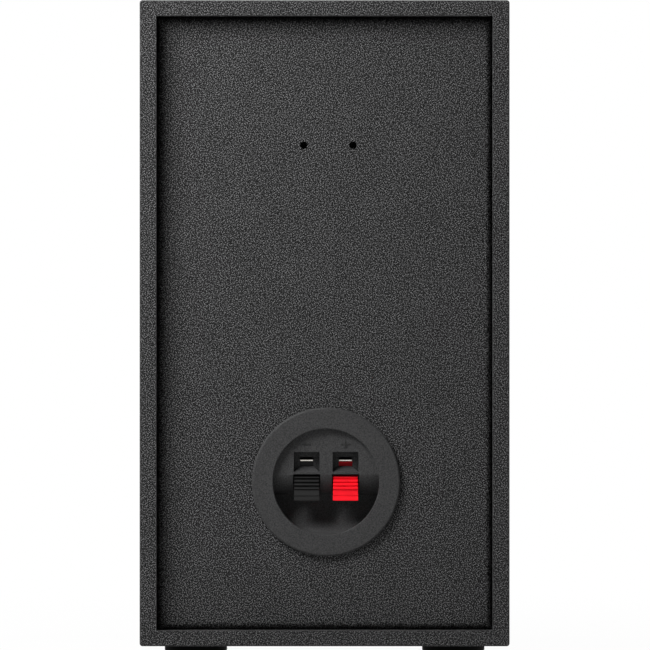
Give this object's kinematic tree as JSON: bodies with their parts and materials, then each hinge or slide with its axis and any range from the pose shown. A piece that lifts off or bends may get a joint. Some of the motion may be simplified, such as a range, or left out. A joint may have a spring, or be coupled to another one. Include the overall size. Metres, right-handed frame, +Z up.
{
  "type": "bookshelf speaker",
  "caption": "Vinyl-wrapped two-way bookshelf speaker with a recessed rear panel, a round spring-clip terminal cup, a pull-off cloth grille and a front port.",
  "frame": {"origin": "on the floor under the middle of the speaker's box, grille included", "axes": "+Z up, +X to the right seen from the front, drivers face -Y and terminals face +Y"},
  "size_m": [0.15, 0.2, 0.265],
  "materials": {
    "vinyl_board": "black pebble-grain vinyl on board",
    "baffle_board": "black paint on board",
    "raw_wood": "raw",
    "foot_rubber": "matte",
    "cup_plastic": "fine moulded texture",
    "lever_black": "satin",
    "lever_red": "glossy",
    "contact_metal": "bright plated",
    "basket_steel": "black paint",
    "plated_steel": "zinc plated",
    "magnet_ferrite": "matte",
    "soft_rubber": "matte",
    "cone_paper": "matte",
    "spider_cloth": "stiffened weave",
    "copper_wire": "enamelled",
    "tag_board": "phenolic",
    "screw_steel": "black oxide",
    "dome_silk": "coated silk",
    "trim_plastic": "matte",
    "grille_board": "black paint on board",
    "grille_fabric": "knitted",
    "circuit_board": "satin",
    "capacitor_sleeve": "shrink sleeve",
    "wadding": "soft wadding",
    "lead_red": "satin",
    "lead_black": "satin"
  },
  "bodies": {
    "cabinet": {"left_side": "vinyl_board", "right_side": "vinyl_board", "top_board": "vinyl_board", "bottom_board": "vinyl_board", "rear_panel": "vinyl_board", "front_baffle": "baffle_board", "corner_blocks": "raw_wood", "feet": "foot_rubber", "terminal_cup": "cup_plastic", "terminal_back": "cup_plastic", "negative_contact": "contact_metal", "positive_contact": "contact_metal", "woofer_basket": "basket_steel", "woofer_gasket": "soft_rubber", "woofer_surround": "soft_rubber", "woofer_spider": "spider_cloth", "woofer_top_plate": "plated_steel", "woofer_magnet": "magnet_ferrite", "woofer_yoke": "plated_steel", "woofer_tag_strip": "tag_board", "woofer_screws": "screw_steel", "tweeter_faceplate": "trim_plastic", "tweeter_surround": "dome_silk", "tweeter_top_plate": "plated_steel", "tweeter_magnet": "magnet_ferrite", "tweeter_yoke": "plated_steel", "tweeter_tag_strip": "tag_board", "tweeter_screws": "screw_steel", "port_tube": "trim_plastic", "grille_sockets": "soft_rubber", "crossover_board": "circuit_board", "crossover_spacers": "trim_plastic", "crossover_capacitor": "capacitor_sleeve", "crossover_inductor": "copper_wire", "damping_pad": "wadding", "positive_leads": "lead_red", "negative_leads": "lead_black"},
    "woofer_piston": {"woofer_cone": "cone_paper", "woofer_dust_cap": "cone_paper", "woofer_voice_coil": "copper_wire"},
    "tweeter_piston": {"tweeter_dome": "dome_silk", "tweeter_voice_coil": "copper_wire"},
    "negative_lever": {"negative_lever": "lever_black"},
    "positive_lever": {"positive_lever": "lever_red"},
    "grille": {"grille_frame": "grille_board", "grille_cloth": "grille_fabric", "grille_pegs": "trim_plastic"}
  },
  "joints": [
    {"name": "negative_lever_press", "type": "hinge", "parent": "cabinet", "child": "negative_lever", "pos_m": [0.0073, 0.0817, 0.0745], "axis": [-1, 0, 0], "range_deg": [0, 15], "stiffness_Nm_per_rad": 0.1, "springref_deg": -6.88},
    {"name": "positive_lever_press", "type": "hinge", "parent": "cabinet", "child": "positive_lever", "pos_m": [-0.0085, 0.0817, 0.0745], "axis": [-1, 0, 0], "range_deg": [0, 15], "stiffness_Nm_per_rad": 0.1, "springref_deg": -6.88},
    {"name": "woofer_stroke", "type": "slide", "parent": "cabinet", "child": "woofer_piston", "axis": [0, -1, 0], "range_m": [-0.003, 0.003], "stiffness_N_per_m": 1000, "deforming": ["woofer_surround", "woofer_spider"]},
    {"name": "tweeter_stroke", "type": "slide", "parent": "cabinet", "child": "tweeter_piston", "axis": [0, -1, 0], "range_m": [-0.0003, 0.0003], "stiffness_N_per_m": 2000, "deforming": ["tweeter_surround"]},
    {"name": "grille_pull", "type": "slide", "parent": "cabinet", "child": "grille", "axis": [0, -1, 0], "range_m": [0, 0.03]}
  ]
}
